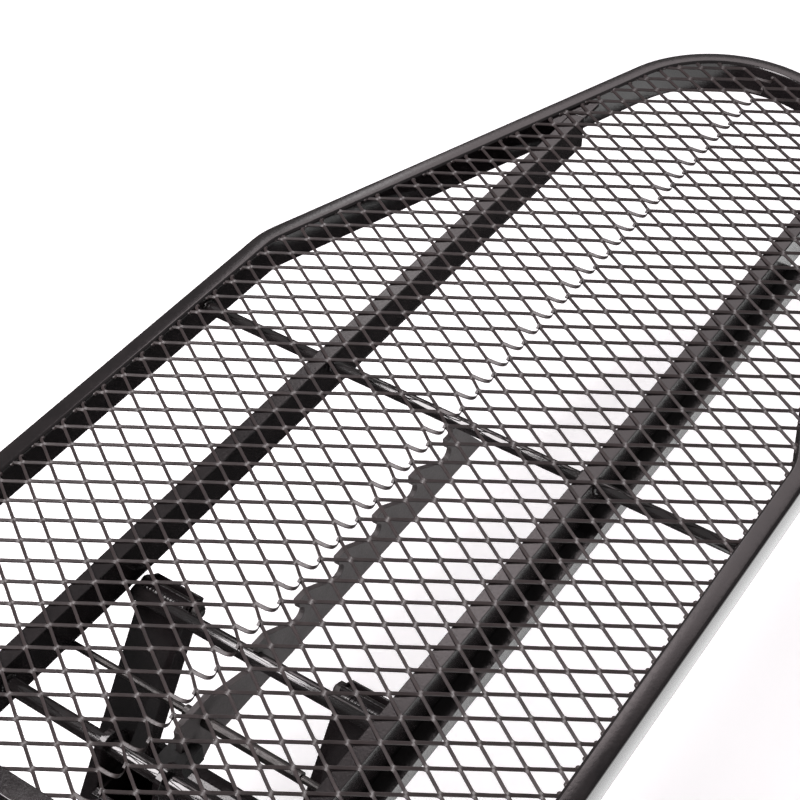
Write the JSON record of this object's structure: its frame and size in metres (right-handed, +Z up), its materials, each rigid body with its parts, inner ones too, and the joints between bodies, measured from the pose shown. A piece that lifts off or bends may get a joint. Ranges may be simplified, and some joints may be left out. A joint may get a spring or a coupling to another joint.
{
  "type": "hitch cargo carrier",
  "caption": "Hitch cargo carrier: tapered expanded-metal deck with a rounded end on a receiver shank, hinged on a mast and held by a prop bar in a toothed rack.",
  "frame": {"origin": "middle of the shank's underside, straight below the hitch-pin hole", "axes": "+X to the rear, away from the vehicle, along the shank; +Y to the carrier's left; +Z up"},
  "size_m": [1.5746, 0.6096, 0.3749],
  "materials": {
    "black_enamel": "gloss black powder coat with a light orange peel",
    "rack_satin": "satin dark grey",
    "black_fastener": "black oxide, semi-gloss",
    "zinc_steel": "bright zinc plate",
    "rubber": "matte moulded",
    "cap_plastic": "fine moulded grain"
  },
  "bodies": {
    "hitch": {"ear_bolt": "black_fastener", "ear_nut": "black_fastener", "mast": "black_enamel", "mast_ear_left": "black_enamel", "mast_ear_right": "black_enamel", "mast_gusset": "black_enamel", "pivot_washer_left": "black_fastener", "pivot_washer_right": "black_fastener", "prop_pivot_bolt": "black_fastener", "prop_pivot_nut": "black_fastener", "prop_pivot_sleeve": "black_enamel", "shank": "black_enamel", "shank_end_cap": "cap_plastic"},
    "deck": {"corner_plate_left": "black_enamel", "corner_plate_right": "black_enamel", "cross_rod": "black_enamel", "front_tube": "black_enamel", "hinge_axle": "black_enamel", "inner_tube_left": "black_enamel", "inner_tube_right": "black_enamel", "mesh_sheet_left": "black_enamel", "mesh_sheet_right": "black_enamel", "rack_bumper": "rubber", "rack_collar": "black_fastener", "rack_pin": "black_fastener", "rack_sleeve": "black_fastener", "rail_cap_left": "cap_plastic", "rail_cap_right": "cap_plastic", "rear_bow_left": "black_enamel", "rear_bow_right": "black_enamel", "side_rail_left": "black_enamel", "side_rail_right": "black_enamel", "stiffener_left": "black_enamel", "stiffener_right": "black_enamel", "taper_rail_left": "black_enamel", "taper_rail_right": "black_enamel", "toothed_rack": "rack_satin"},
    "prop": {"arm_bolt_left": "black_fastener", "arm_bolt_right": "black_fastener", "arm_nut_left": "black_fastener", "arm_nut_right": "black_fastener", "arm_spacer_left": "black_fastener", "arm_spacer_right": "black_fastener", "prop_arm_left": "black_enamel", "prop_arm_right": "black_enamel", "prop_bar": "black_enamel", "prop_brace": "black_enamel", "u_bolt_left": "black_fastener", "u_bolt_right": "black_fastener", "u_nut_left_lower": "black_fastener", "u_nut_left_upper": "black_fastener", "u_nut_right_lower": "black_fastener", "u_nut_right_upper": "black_fastener"},
    "hitch_pin": {"hitch_pin": "zinc_steel"},
    "hitch_clip": {"hitch_clip": "zinc_steel"}
  },
  "joints": [
    {"name": "deck_tilt", "type": "hinge", "parent": "hitch", "child": "deck", "pos_m": [0.3834, 0, 0.3531], "axis": [0, -1, 0], "range_deg": [0, 2.5]},
    {"name": "prop_swing", "type": "hinge", "parent": "hitch", "child": "prop", "pos_m": [0.377, 0, 0.0681], "axis": [0, -1, 0], "range_deg": [0, 10]},
    {"name": "pin_slide", "type": "slide", "parent": "hitch", "child": "hitch_pin", "axis": [0, 1, 0], "range_m": [0, 0.014]},
    {"name": "clip_slide", "type": "slide", "parent": "hitch_pin", "child": "hitch_clip", "axis": [1, 0, 0], "range_m": [0, 0.045]}
  ],
  "couplings": [
    {"joint": "prop_swing", "follows": "deck_tilt", "ratio": 4}
  ]
}
